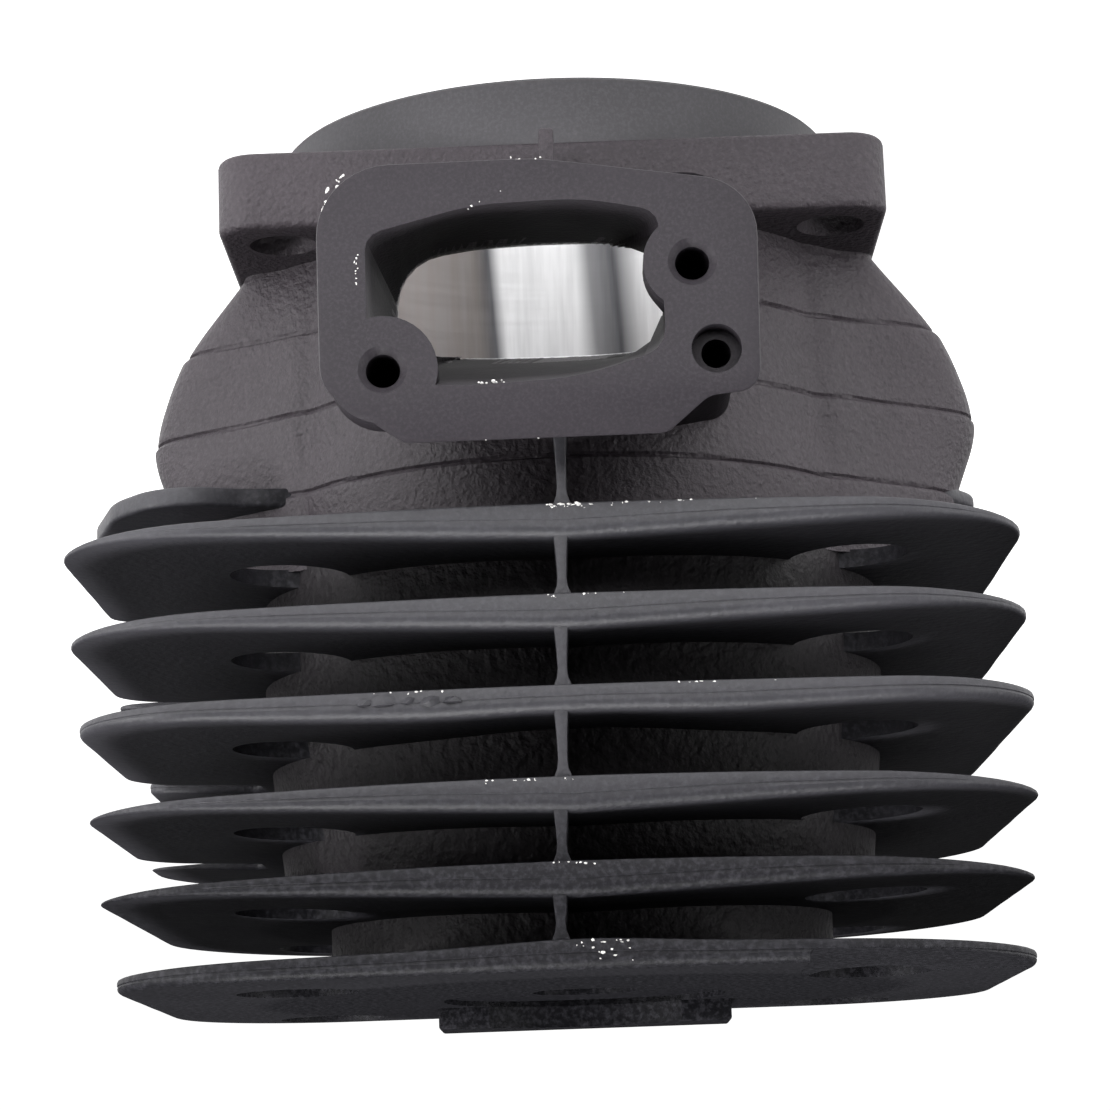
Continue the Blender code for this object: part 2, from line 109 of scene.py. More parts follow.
# Outlines in (x, z, corner radius): the flange, its neck, and the passage's two ends
INTAKE_OUTLINE = [
    (26.0, 17.3, 8.0), (2.0, 17.1, 30.0), (-21.7, 20.7, 6.5), (-21.2, 43.8, 2.6),
    (-15.6, 44.4, 3.0), (-11.0, 48.3, 2.2), (17.0, 48.4, 2.2), (25.9, 42.2, 5.0),
]
NECK_OUTLINE = [
    (22.5, 17.5, 5.0), (-19.2, 17.5, 5.0), (-19.0, 40.6, 3.0), (-10.0, 42.8, 3.0),
    (14.0, 42.8, 6.0), (21.0, 35.0, 8.0),
]
WINDOW_OUTLINE = [
    (20.7, 25.2, 2.2), (9.0, 22.2, 30.0), (-3.0, 21.9, 30.0), (-10.9, 23.6, 2.2), (-11.3, 38.9, 3.2),
    (-2.0, 41.7, 30.0), (9.0, 42.2, 10.0), (20.7, 41.8, 1.5),
]
PORT_OUTLINE = [
    (19.4, 19.6, 6.5), (9.5, 18.9, 20.0), (-4.0, 18.9, 20.0), (-12.0, 19.4, 4.0), (-12.0, 31.8, 4.0),
    (-4.0, 32.0, 20.0), (9.5, 32.0, 20.0), (19.2, 31.8, 4.0),
]
# Screw bosses as (x, z, radius), the screw holes' end in y, and the pulse hole as (x, z)
SCREW_BOSSES = [(19.1, 40.1, 5.9), (-14.4, 29.4, 5.3)]
SCREW_R = 1.85
SCREW_END = -44.0
IMPULSE = (-16.6, 39.1)
PULSE_R = 1.6
EXHAUST_SCREW_X = 21.5
# Where the exhaust passage's cutter starts and ends in y, and the transfer windows' heights in the bore
EXHAUST_CUT = (20.0, 60.0)
TRANSFER_WINDOWS = [(21.0, 27.0), (44.0, 50.0)]
# A duct's front half at each height, as (x, y), and the barrel as (radius, z)
DUCT_SECTIONS = [
    (17.3, [(29.8, -19.9), (33.5, -16.5), (36.8, -15.6), (38.0, -14.2), (38.3, -10.0), (38.3, -4.0)]),
    (26.0, [(30.1, -20.8), (35.5, -17.0), (42.0, -13.6), (45.2, -11.0), (46.2, -8.0), (46.3, -3.5)]),
    (35.7, [(30.9, -21.0), (38.0, -15.4), (45.4, -10.6), (48.8, -7.8), (50.0, -5.0), (50.2, -2.5)]),
    (46.0, [(31.7, -20.8), (37.5, -16.0), (42.8, -12.2), (45.6, -9.4), (47.1, -6.5), (47.4, -3.0)]),
    (53.6, [(32.2, -20.8), (37.0, -16.8), (41.2, -13.4), (43.8, -10.4), (45.2, -7.0), (45.5, -3.0)]),
]
BARREL_OUTSIDE = [(35.3, 17.3), (37.2, 50.0), (37.6, 62.0), (37.2, 72.0), (36.2, 82.0), (35.3, 90.5)]
# The parting lines on the body: their heights, and the step, depth and width of each
PARTING_Z = [25.9, 35.7, 45.5]
PARTING_STEP = 0.3
PARTING_DEPTH = 0.5
PARTING_WIDTH = 0.22
# Knocked-off paint on the intake's edges and face: from (x, z), to (x, z), number of flakes, their size
EDGE_INSET = 0.22
FACE_INSET = 0.04
CHIP_RUNS = [
    ((22.5, 18.2), (24.9, 20.2), 12, 0.22), ((24.9, 20.2), (25.3, 27.0), 14, 0.22),
    ((1.5, 17.3), (6.0, 17.3), 10, 0.3), ((6.0, 41.9), (9.0, 41.9), 8, 0.25),
    ((22.9, 33.0), (23.3, 38.0), 4, 0.2),
    ((-8.0, 48.0), (12.0, 48.1), 8, 0.25), ((-21.0, 24.0), (-20.9, 42.0), 6, 0.25),
]
FACE_CHIP_RUNS = [((21.6, 26.6), (21.6, 31.0), 12, 0.2), ((9.5, 22.6), (6.0, 21.0), 4, 0.2)]
# Knocked-off paint on the fins' front edges: fin, from x, to x, number of flakes, their size
FIN_CHIPS = [
    (0, -3.0, 3.0, 30, 0.3), (0, -24.0, -4.0, 22, 0.3), (0, 30.0, 36.0, 5, 0.3), (1, -4.0, 4.0, 8, 0.22),
    (2, -24.0, -8.0, 12, 0.28), (2, 10.0, 24.0, 8, 0.28), (3, 0.0, 11.0, 12, 0.25), (4, -4.0, 8.0, 8, 0.22),
    (5, -7.0, 2.0, 18, 0.3),
]
# Lumps of casting flash on the third fin: x, length, height
FLASH_LUMPS = [(13.0, 1.3, 0.55), (15.2, 1.6, 0.8), (17.6, 1.0, 0.5), (20.3, 1.5, 0.85), (22.2, 1.0, 0.6)]
# The lowest fin's two parts, in (x, y, corner radius)
LOW_FIN_LEFT = [
    (26.0, -17.0, 0.5), (30.0, -19.5, 0.8), (38.0, -20.6, 6.0), (47.0, -24.2, 8.0), (54.0, -15.5, 14.0),
    (58.2, -1.0, 20.0), (58.2, 14.0, 16.0), (55.0, 30.0, 10.0), (40.0, 39.0, 8.0), (22.0, 40.5, 1.0),
    (22.0, 27.0, 1.0), (33.0, 0.0, 1.0),
]
LOW_FIN_RIGHT = [
    (-33.0, 0.0, 1.0), (-22.0, 27.0, 1.0), (-22.0, 40.5, 1.0), (-38.0, 38.5, 8.0), (-48.6, 29.0, 8.0),
    (-50.2, 14.0, 14.0), (-49.9, -3.0, 4.0), (-46.0, -9.0, 3.0), (-36.0, -9.5, 1.0),
]


# ---- shapes ---------------------------------------------------------------------------------------


def finish_object(name, shape, smooth=40):
    bmesh.ops.recalc_face_normals(shape, faces=shape.faces)
    mesh = bpy.data.meshes.new(name)
    shape.to_mesh(mesh)
    shape.free()
    mesh.shade_smooth()
    mesh.set_sharp_from_angle(angle=math.radians(smooth))
    made = bpy.data.objects.new(name, mesh)
    bpy.context.scene.collection.objects.link(made)
    return made


def extrude(name, points, travel):
    shape = bmesh.new()
    face = shape.faces.new([shape.verts.new(Vector(point) * MM) for point in points])
    grown = bmesh.ops.extrude_face_region(shape, geom=[face])["geom"]
    moved = [item for item in grown if isinstance(item, bmesh.types.BMVert)]
    bmesh.ops.translate(shape, verts=moved, vec=Vector(travel) * MM)
    return finish_object(name, shape)


def prism(name, outline, low, high):
    return extrude(name, [(x, y, low) for x, y in outline], (0, 0, high - low))


def prism_y(name, outline, front, back):
    return extrude(name, [(x, front, z) for x, z in outline], (0, back - front, 0))


def loft(name, rings):
    """A closed skin through rings that have the same number of points."""
    shape = bmesh.new()
    levels = [[shape.verts.new(Vector(point) * MM) for point in ring] for ring in rings]
    shape.faces.new(levels[0])
    shape.faces.new(levels[-1])
    for low, high in zip(levels, levels[1:]):
        for i in range(len(low)):
            shape.faces.new((low[i - 1], low[i], high[i], high[i - 1]))
    return finish_object(name, shape)


def revolve(name, profile, segments=160, smooth=30):
    """A closed profile of (radius, z), spun about Z."""
    shape = bmesh.new()
    verts = [shape.verts.new(Vector((r, 0, z)) * MM) for r, z in profile]
    edges = [shape.edges.new((verts[i - 1], verts[i])) for i in range(len(verts))]
    bmesh.ops.spin(shape, geom=verts + edges, cent=(0, 0, 0), axis=(0, 0, 1), angle=2 * math.pi,
                   steps=segments, use_merge=True)
    return finish_object(name, shape, smooth)


def circle(radius, x=0.0, y=0.0, segments=48):
    turns = [2 * math.pi * i / segments for i in range(segments)]
    return [(x + radius * math.cos(t), y + radius * math.sin(t)) for t in turns]


def box_outline(x_low, x_high, y_low, y_high):
    return [(x_low, y_low), (x_high, y_low), (x_high, y_high), (x_low, y_high)]


def rounded(corners, steps=8):
    """A polygon of (x, y, radius) corners, each rounded by an arc."""
    outline = []
    for i, (x, y, radius) in enumerate(corners):
        here = Vector((x, y))
        before = (Vector(corners[i - 1][:2]) - here).normalized()
        after = (Vector(corners[(i + 1) % len(corners)][:2]) - here).normalized()
        half = before.angle(after) / 2
        reach = radius / math.tan(half)
        centre = here + (before + after).normalized() * radius / math.sin(half)
        start = here + before * reach - centre
        end = here + after * reach - centre
        for step in range(steps + 1):
            outline.append(tuple(centre + start.slerp(end, step / steps, start).normalized() * radius))
    return outline


def resample(outline, count):
    """The same closed outline through evenly spaced points."""
    points = [Vector(point) for point in outline]
    lengths = [(points[(i + 1) % len(points)] - points[i]).length for i in range(len(points))]
    step = sum(lengths) / count
    even = []
    index = 0
    used = 0.0
    for i in range(count):
        target = i * step
        while used + lengths[index] < target and index < len(points) - 1:
            used += lengths[index]
            index += 1
        share = (target - used) / max(lengths[index], 1e-9)
        even.append(tuple(points[index].lerp(points[(index + 1) % len(points)], share)))
    return even


def superellipse(half_x, half_z, power, centre, count, shift=0.0):
    """A rounded box outline in x and z. A smaller power gives squarer corners."""
    outline = []
    for i in range(count):
        turn = 2 * math.pi * (i + shift) / count
        across, up = math.cos(turn), math.sin(turn)
        outline.append((half_x * math.copysign(abs(across) ** power, across),
                        centre + half_z * math.copysign(abs(up) ** power, up)))
    return outline


def apply_modifiers(target):
    """Turns the object's modifiers into its mesh."""
    graph = bpy.context.evaluated_depsgraph_get()
    mesh = bpy.data.meshes.new_from_object(target.evaluated_get(graph))
    old = target.data
    target.modifiers.clear()
    mesh.shade_smooth()
    mesh.set_sharp_from_angle(angle=math.radians(30))
    target.data = mesh
    bpy.data.meshes.remove(old)


def combine(target, tools, operation="DIFFERENCE"):
    """Cuts or joins the tools at once, and removes them."""
    for tool in tools:
        modifier = target.modifiers.new("combine", "BOOLEAN")
        modifier.operation = operation
        modifier.object = tool
    apply_modifiers(target)
    for tool in tools:
        bpy.data.objects.remove(tool, do_unlink=True)


def bevel(target, width, segments):
    modifier = target.modifiers.new("bevel", "BEVEL")
    modifier.width = width * MM
    modifier.segments = segments
    modifier.limit_method = "ANGLE"
    modifier.angle_limit = math.radians(35)
    apply_modifiers(target)


def bolt_cutters(name, radius, low, high):
    """One cutter for each of the four screws."""
    places = [(sx * BOLT[0], sy * BOLT[1]) for sx in (-1, 1) for sy in (-1, 1)]
    return [prism(f"{name}_{i}", circle(radius, x, y), low, high) for i, (x, y) in enumerate(places)]


def keep(piece, slot, material, *nodes):
    """Puts a finished piece on its body, hides the nodes it stands for and gives it its material. The slot is
    not used.
    """
    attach(piece, BODY)
    if nodes:
        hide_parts(*nodes)
    piece.data.materials.clear()
    piece.data.materials.append(material)


# ---- materials ------------------------------------------------------------------------------------

# Turns metres into decimetres, so that the part's sizes fall between a ramp's ends of 0 and 1
DECIMETRE = 10.0


def new_material(name):
    material = bpy.data.materials.new(name)
    material.use_nodes = True
    tree = material.node_tree
    tree.nodes.clear()
    output = tree.nodes.new("ShaderNodeOutputMaterial")
    shader = tree.nodes.new("ShaderNodeBsdfPrincipled")
    tree.links.new(shader.outputs["BSDF"], output.inputs["Surface"])
    return material, tree, shader


def add_position(tree):
    """The three parts of a point's place in its object, in metres."""
    coordinates = tree.nodes.new("ShaderNodeTexCoord")
    parts = tree.nodes.new("ShaderNodeSeparateXYZ")
    tree.links.new(coordinates.outputs["Object"], parts.inputs[0])
    return parts.outputs


def add_noise(tree, scale, detail=3.0, roughness=0.5, stretch=None):
    coordinates = tree.nodes.new("ShaderNodeTexCoord")
    texture = tree.nodes.new("ShaderNodeTexNoise")
    texture.inputs["Scale"].default_value = scale
    texture.inputs["Detail"].default_value = detail
    texture.inputs["Roughness"].default_value = roughness
    source = coordinates.outputs["Object"]
    if stretch:
        mapping = tree.nodes.new("ShaderNodeMapping")
        mapping.inputs["Scale"].default_value = stretch
        tree.links.new(source, mapping.inputs["Vector"])
        source = mapping.outputs["Vector"]
    tree.links.new(source, texture.inputs["Vector"])
    return texture.outputs["Fac"]


def add_ramp(tree, source, stops):
    ramp = tree.nodes.new("ShaderNodeValToRGB")
    while len(ramp.color_ramp.elements) < len(stops):
        ramp.color_ramp.elements.new(0.5)
    for element, (position, colour) in zip(ramp.color_ramp.elements, stops):
        element.position = position
        element.color = (*colour, 1.0) if isinstance(colour, tuple) else (colour, colour, colour, 1.0)
    tree.links.new(source, ramp.inputs["Fac"])
    return ramp.outputs["Color"]


def add_mix(tree, factor, first, second):
    mix = tree.nodes.new("ShaderNodeMix")
    mix.data_type = "RGBA"
    for socket, value in ((mix.inputs["Factor"], factor), (mix.inputs[6], first), (mix.inputs[7], second)):
        if isinstance(value, bpy.types.NodeSocket):
            tree.links.new(value, socket)
        elif isinstance(value, tuple):
            socket.default_value = (*value, 1.0)
        else:
            socket.default_value = value
    return mix.outputs[2]


def add_math(tree, operation, first, second):
    node = tree.nodes.new("ShaderNodeMath")
    node.operation = operation
    for socket, value in zip(node.inputs, (first, second)):
        if isinstance(value, bpy.types.NodeSocket):
            tree.links.new(value, socket)
        else:
            socket.default_value = value
    return node.outputs[0]


def add_bump(tree, height, strength, distance, normal=None):
    bump = tree.nodes.new("ShaderNodeBump")
    bump.inputs["Strength"].default_value = strength
    bump.inputs["Distance"].default_value = distance * MM
    tree.links.new(height, bump.inputs["Height"])
    if normal:
        tree.links.new(normal, bump.inputs["Normal"])
    return bump.outputs["Normal"]


def make_paint(name, dark, light, grain, grain_depth, painted_shade=0.0, specular=0.42, passage_shade=0.0):
    """Thin black paint over aluminium. grain is the cast texture's scale, in bumps per metre. The argument
    after grain_depth sets painted shade: how much the head end and the fins' roots are darkened. The last
    argument sets painted shade inside the intake: how much the intake's inside is darkened behind its face."""
    material, tree, shader = new_material(name)
    clouds = add_noise(tree, 38.0, 4.0, 0.6)
    fine = add_noise(tree, grain * 1.7, 5.0, 0.65)
    colour = add_mix(tree, add_ramp(tree, clouds, [(0.3, 0.0), (0.7, 1.0)]), dark, light)
    # Painted shade: darker and less shiny towards the head end, and near the axis at the fins' roots, where
    # shade falls between the fins.
    if painted_shade:
        place = add_position(tree)
        height = add_math(tree, "MULTIPLY", place[2], DECIMETRE)
        head_end_shade = add_ramp(tree, height, [(0.82, 0.0), (0.92, painted_shade)])
        flat = tree.nodes.new("ShaderNodeCombineXYZ")
        tree.links.new(place[0], flat.inputs[0])
        tree.links.new(place[1], flat.inputs[1])
        length = tree.nodes.new("ShaderNodeVectorMath")
        length.operation = "LENGTH"
        tree.links.new(flat.outputs[0], length.inputs[0])
        away = add_math(tree, "MULTIPLY", length.outputs["Value"], DECIMETRE)
        deep = add_ramp(tree, away, [(0.37, 0.9), (0.50, 0.0)])
        shade_mask = add_math(tree, "MAXIMUM", head_end_shade, deep)
        colour = add_mix(tree, shade_mask, colour, (0.003, 0.003, 0.004))
        shine = add_math(tree, "SUBTRACT", specular, add_math(tree, "MULTIPLY", shade_mask, 0.38))
        tree.links.new(shine, shader.inputs["Specular IOR Level"])
    powder = add_ramp(tree, fine, [(0.45, 0.0), (0.75, 1.0)])
    lighter = tuple(min(1.0, 1.55 * value + 0.006) for value in light)
    colour = add_mix(tree, add_math(tree, "MULTIPLY", powder, 0.55), colour, lighter)
    rough = add_ramp(tree, clouds, [(0.25, 0.49), (0.75, 0.62)])
    tree.links.new(colour, shader.inputs["Base Color"])
    tree.links.new(rough, shader.inputs["Roughness"])
    coarse = add_bump(tree, add_noise(tree, grain, 2.0, 0.5), 1.0, grain_depth)
    normal = add_bump(tree, fine, 0.8, grain_depth * 0.45, coarse)
    tree.links.new(normal, shader.inputs["Normal"])
    # Painted shade: darker and less shiny from the intake face back into the passage, fully dark about 6 mm
    # behind the face.
    if passage_shade:
        back = add_math(tree, "MULTIPLY", add_math(tree, "ADD", add_position(tree)[1], 0.057), DECIMETRE)
        shade_mask = add_ramp(tree, back, [(0.004, 0.0), (0.06, passage_shade)])
        tree.links.new(add_mix(tree, shade_mask, colour, (0.005, 0.004, 0.005)), shader.inputs["Base Color"])
        tree.links.new(add_math(tree, "MULTIPLY", add_math(tree, "SUBTRACT", 1.0, shade_mask), specular),
                       shader.inputs["Specular IOR Level"])
    elif not painted_shade:
        shader.inputs["Specular IOR Level"].default_value = specular
    return material


def make_bright_bore():
    """Honed plating, with faint rings round it and faint streaks along it. The light and dark bands along it
    are painted reflections.
    """
    material, tree, shader = new_material("bright_bore")
    rings = add_noise(tree, 60.0, 4.0, 0.6, (1.0, 1.0, 26.0))
    streaks = add_noise(tree, 120.0, 3.0, 0.6, (6.0, 6.0, 0.4))
    # Painted reflections: pale, dark and warm bands fixed across the bore along X, bent a little with height.
    place = add_position(tree)
    across = add_math(tree, "MULTIPLY", place[0], 1.0 / 0.06)
    across = add_math(tree, "ADD", across, 0.5)
    bend = add_math(tree, "SUBTRACT", place[2], 0.015)
    across = add_math(tree, "ADD", across, bend)
    warm, pale, dark = (0.21, 0.19, 0.18), (0.95, 0.95, 0.96), (0.09, 0.09, 0.10)
    reflection_bands = add_ramp(tree, across, [(0.30, pale), (0.365, dark), (0.42, (0.28, 0.28, 0.29)), (0.455, pale),
                                      (0.62, pale), (0.645, dark), (0.68, warm), (0.80, (0.33, 0.30, 0.29))])
    colour = add_mix(tree, add_ramp(tree, streaks, [(0.35, 0.22), (0.6, 0.0)]), reflection_bands, (0.35, 0.35, 0.36))
    tree.links.new(colour, shader.inputs["Base Color"])
    rough = add_ramp(tree, rings, [(0.3, 0.34), (0.7, 0.46)])
    tree.links.new(rough, shader.inputs["Roughness"])
    tree.links.new(add_bump(tree, rings, 0.3, 0.02), shader.inputs["Normal"])
    shader.inputs["Metallic"].default_value = 0.75
    return material


def make_chip_metal():
    """Bare aluminium where the paint is knocked off."""
    material, tree, shader = new_material("bare_metal")
    grain = add_noise(tree, 1800.0, 3.0)
    tree.links.new(add_ramp(tree, grain, [(0.3, (0.42, 0.41, 0.40)), (0.7, (0.85, 0.84, 0.82))]),
                   shader.inputs["Base Color"])
    tree.links.new(add_ramp(tree, grain, [(0.3, 0.35), (0.7, 0.6)]), shader.inputs["Roughness"])
    tree.links.new(add_bump(tree, grain, 0.5, 0.03), shader.inputs["Normal"])
    shader.inputs["Metallic"].default_value = 0.25
    return material


# ---- the body: barrel and ducts -------------------------------------------------------------------


def radius_at(z):
    """The barrel's radius at a height."""
    for (low_r, low_z), (high_r, high_z) in zip(BARREL_OUTSIDE, BARREL_OUTSIDE[1:]):
        if z <= high_z:
            break
    share = min(1.0, max(0.0, (z - low_z) / (high_z - low_z)))
    return low_r + (high_r - low_r) * share


def duct_front(z):
    """The duct's front half at a height, smoothed between the stated sections."""
    z = min(max(z, DUCT_SECTIONS[0][0]), DUCT_SECTIONS[-1][0])
    for index in range(len(DUCT_SECTIONS) - 1):
        if z <= DUCT_SECTIONS[index + 1][0]:
            break
    spans = [DUCT_SECTIONS[max(0, min(len(DUCT_SECTIONS) - 1, index + step))] for step in (-1, 0, 1, 2)]
    share = (z - spans[1][0]) / (spans[2][0] - spans[1][0])
    front = []
    for a, b, c, d in zip(*(section for _, section in spans)):
        point = []
        for k in range(2):
            slope_low = (c[k] - a[k]) / (spans[2][0] - spans[0][0] or 1) * (spans[2][0] - spans[1][0])
            slope_high = (d[k] - b[k]) / (spans[3][0] - spans[1][0] or 1) * (spans[2][0] - spans[1][0])
            t2, t3 = share**2, share**3
            point.append((2 * t3 - 3 * t2 + 1) * b[k] + (t3 - 2 * t2 + share) * slope_low
                         + (3 * t2 - 2 * t3) * c[k] + (t3 - t2) * slope_high)
        front.append(point)
    return front


def polar_radius(outline, turn):
    """How far a closed outline reaches from the axis in one direction."""
    direction = Vector((math.cos(turn), math.sin(turn)))
    across = Vector((-direction.y, direction.x))
    furthest = 0.0
    for i in range(len(outline) - 1):
        a, b = Vector(outline[i]), Vector(outline[i + 1])
        da, db = a.dot(across), b.dot(across)
        if da * db > 0 or da == db:
            continue
        point = a.lerp(b, da / (da - db))
        furthest = max(furthest, point.dot(direction))
    return furthest


def body_radii(z, count):
    """The body's radius all round at a height: the barrel, with a duct on each side."""
    front = duct_front(z)
    side = front + [[x, -y] for x, y in reversed(front)]
    plain = radius_at(z)
    radii = []
    for i in range(count):
        turn = 2 * math.pi * i / count
        folded = math.atan2(math.sin(turn), abs(math.cos(turn)))
        radii.append(max(plain, polar_radius(side, folded)))
    return radii


def smooth_ring(values, reach):
    """Softens a closed row of values with a bell-shaped weight."""
    count = len(values)
    weights = [math.exp(-2.0 * (k / reach) ** 2) for k in range(-reach, reach + 1)]
    total = sum(weights)
    return [sum(w * values[(i + k - reach) % count] for k, w in enumerate(weights)) / total
            for i in range(count)]


def make_body(material):
    """The lower casting, from the flange to the first fin, as one smooth skin with cast parting steps."""
    count = 540
    low, high = FLANGE_TOP - 1.5, FIN_LOWS[0] + 1.0
    steps = 150
    shape = bmesh.new()
    levels = []
    for level in range(steps + 1):
        z = low + (high - low) * level / steps
        radii = smooth_ring(body_radii(z, count), count // 110)
        ring = []
        for i, radius in enumerate(radii):
            turn = 2 * math.pi * i / count
            wobble = noise.noise(Vector((math.cos(turn) * 2.2, math.sin(turn) * 2.2, z * 0.06)))
            radius += 0.22 * wobble
            for line_z in PARTING_Z:
                offset = z - line_z - 0.5 * wobble
                radius += PARTING_STEP / (1.0 + math.exp(-offset * 6.0)) * max(0.0, 1.0 - abs(offset) / 5.0)
                radius -= PARTING_DEPTH * math.exp(-((offset / PARTING_WIDTH) ** 2))
            ring.append(shape.verts.new(Vector((radius * math.cos(turn), radius * math.sin(turn), z)) * MM))
        levels.append(ring)
    for a, b in zip(levels, levels[1:]):
        for i in range(count):
            shape.faces.new((a[i - 1], a[i], b[i], b[i - 1]))
    shape.faces.new(levels[0])
    shape.faces.new(levels[-1])
    body = finish_object("body_casting", shape, 60)
    cutters = [prism("cutter_core", circle(WALL_R - 0.4, segments=160), low - 2, high + 2)]
    cutters.append(loft("cutter_window", passage_rings()))
    cutters.append(prism_y("cutter_exhaust", exhaust_passage(), *EXHAUST_CUT))
    combine(body, cutters)
    keep(body, "black_paint", material, "transfer_duct_left", "transfer_duct_right")


def make_upper_barrel(material):
    """The barrel between the fins and the head's neck."""
    outside = [(radius_at(z), z) for z in [FIN_LOWS[0] + k * 3.0 for k in range(13)]]
    neck_z = FIN_LOWS[4]
    outside += [(34.2, head_low.z + 0.5), (33.0, neck_z + 1.2), (30.1, neck_z + 1.8), (30.0, HEAD_TOP)]
    bore_top = head_low.z
    dome = [(26.0, bore_top), (22.0, bore_top + 1.7), (17.0, bore_top + 3.3), (12.0, bore_top + 4.5),
            (PLUG_R, bore_top + 5.2)]
    inside = [(PLUG_R, HEAD_TOP)] + dome[::-1] + [(WALL_R - 0.4, bore_top), (WALL_R - 0.4, FIN_LOWS[0])]
    barrel = revolve("upper_barrel", outside + inside, 200)
    combine(barrel, [prism_y("cutter_exhaust_high", exhaust_passage(), *EXHAUST_CUT)])
    keep(barrel, "black_paint", material, "cylinder_barrel", "combustion_head")


# ---- the crankcase flange -------------------------------------------------------------------------


def make_flange(material, smooth_material):
    """The square flange with its rib, and the spigot. The left ear is a little wider than the right."""
    half_x, half_y = flange_high.x, flange_high.y
    left_x = half_x + EAR_EXTRA
    corners = [(left_x, half_y, 4.5), (-half_x, half_y, 4.5), (-half_x, -half_y, 4.5), (left_x, -half_y, 4.5)]
    plate = prism("flange_casting", rounded(corners, 10), FACE_Z, FLANGE_TOP)
    bevel(plate, 0.8, 3)
    cutters = [prism("cutter_flange_core", circle(WALL_R, segments=160), -5, FLANGE_TOP + 5)]
    cutters += bolt_cutters("cutter_bolt", BOLT_R, FACE_Z - 5, FLANGE_TOP + 5)
    combine(plate, cutters)
    rib = prism("tool_rib", box_outline(0.0, 1.7, -46.0, 5.0 - half_y), FACE_Z + 2.2, FLANGE_TOP + 0.5)
    bevel(rib, 0.35, 2)
    combine(plate, [rib], "UNION")
    keep(plate, "black_paint", material, "crankcase_flange")
    rim = 0.35
    profile = [(WALL_R - 0.3, 0.4), (WALL_R, 0.0), (SPIGOT_R - rim, 0.0), (SPIGOT_R, rim),
               (SPIGOT_R, FACE_Z + 1.0), (WALL_R - 0.3, FACE_Z + 1.0)]
    spigot = revolve("spigot", profile, 200)
    keep(spigot, "black_paint", smooth_material, "crankcase_flange")


# ---- intake and exhaust ---------------------------------------------------------------------------


def passage_rings():
    """The intake passage, from in front of the flange's face to inside the bore."""
    window = resample(rounded(WINDOW_OUTLINE, 6), 96)
    port = resample(rounded(PORT_OUTLINE, 6), 96)
    face, bore = INTAKE_FACE, -29.0
    before, beyond = 2.0, 9.0
    rings = []
    for y, share in ((face - before, -before / (bore - face)), (bore + beyond, 1.0 + beyond / (bore - face))):
        rings.append([(a + (c - a) * share, y, b + (d - b) * share) for (a, b), (c, d) in zip(window, port)])
    return rings


def exhaust_passage():
    return superellipse(12.5, 6.3, 0.5, (exhaust_low.z + exhaust_high.z) / 2, 64)


def make_intake(material):
    """The intake flange with its passage, two screw bosses and the pulse hole."""
    back = INTAKE_FACE + 8.0
    face = rounded(INTAKE_OUTLINE, 10)
    rear = [(x * 0.97, z - 4.0 * min(1.0, max(0.0, (z - 22.0) / 18.0))) for x, z in face]
    block = loft("intake_flange", [[(x, INTAKE_FACE, z) for x, z in face], [(x, back, z) for x, z in rear]])
    bevel(block, 0.45, 2)
    neck = prism_y("tool_neck", rounded(NECK_OUTLINE, 8), back - 2.0, -20.0)
    combine(block, [neck], "UNION")
    combine(block, [loft("cutter_passage", passage_rings())])
    bosses = []
    for index, (x, z, radius) in enumerate(SCREW_BOSSES):
        steps = [(INTAKE_FACE + 0.02, radius), (INTAKE_FACE + 4.0, radius), (-43.0, 3.4)]
        rings = [[(u, y, v) for u, v in circle(wide, x, z, 40)] for y, wide in steps]
        bosses.append(loft(f"tool_boss_{index}", rings))
    combine(block, bosses, "UNION")
    cutters = [prism("cutter_bore", circle(WALL_R + 1.0, segments=160), 0, 90)]
    for index, (x, z, _) in enumerate(SCREW_BOSSES):
        cutters.append(prism_y(f"cutter_screw_{index}", circle(SCREW_R, x, z, 32), INTAKE_FACE - 1, SCREW_END))
        mouth = [
            [(u, INTAKE_FACE - 0.2, v) for u, v in circle(2.85, x, z, 32)],
            [(u, INTAKE_FACE + 1.1, v) for u, v in circle(1.6, x, z, 32)],
        ]
        cutters.append(loft(f"cutter_mouth_{index}", mouth))
    x, z = IMPULSE
    cutters.append(prism_y("cutter_pulse_seat", circle(2.7, x, z, 32), INTAKE_FACE - 1, INTAKE_FACE + 2.4))
    cutters.append(prism_y("cutter_pulse", circle(PULSE_R, x, z, 32), INTAKE_FACE + 1, SCREW_END))
    combine(block, cutters)
    keep(block, "black_paint", material, "intake_port_block")


def make_exhaust(material):
    """The exhaust flange, which the photograph doesn't show."""
    centre = (exhaust_low.z + exhaust_high.z) / 2
    plate = superellipse(27.0, 12.0, 2 / 3.2, centre, 96, 0.5)
    block = prism_y("exhaust_flange", plate, exhaust_high.y - 7.5, exhaust_high.y)
    bevel(block, 0.5, 2)
    neck = superellipse(17.0, 9.8, 0.4, centre, 64, 0.5)
    combine(block, [prism_y("tool_exhaust_neck", neck, 30.0, exhaust_high.y - 6.5)], "UNION")
    cutters = [prism_y("cutter_exhaust_passage", exhaust_passage(), *EXHAUST_CUT)]
    for side in (-1, 1):
        screw = circle(2.5, side * EXHAUST_SCREW_X, centre, 32)
        cutters.append(prism_y(f"cutter_exhaust_screw_{side}", screw, exhaust_high.y - 11, exhaust_high.y + 1))
    combine(block, cutters)
    keep(block, "black_paint", material, "exhaust_port_block")


# ---- fins -----------------------------------------------------------------------------------------


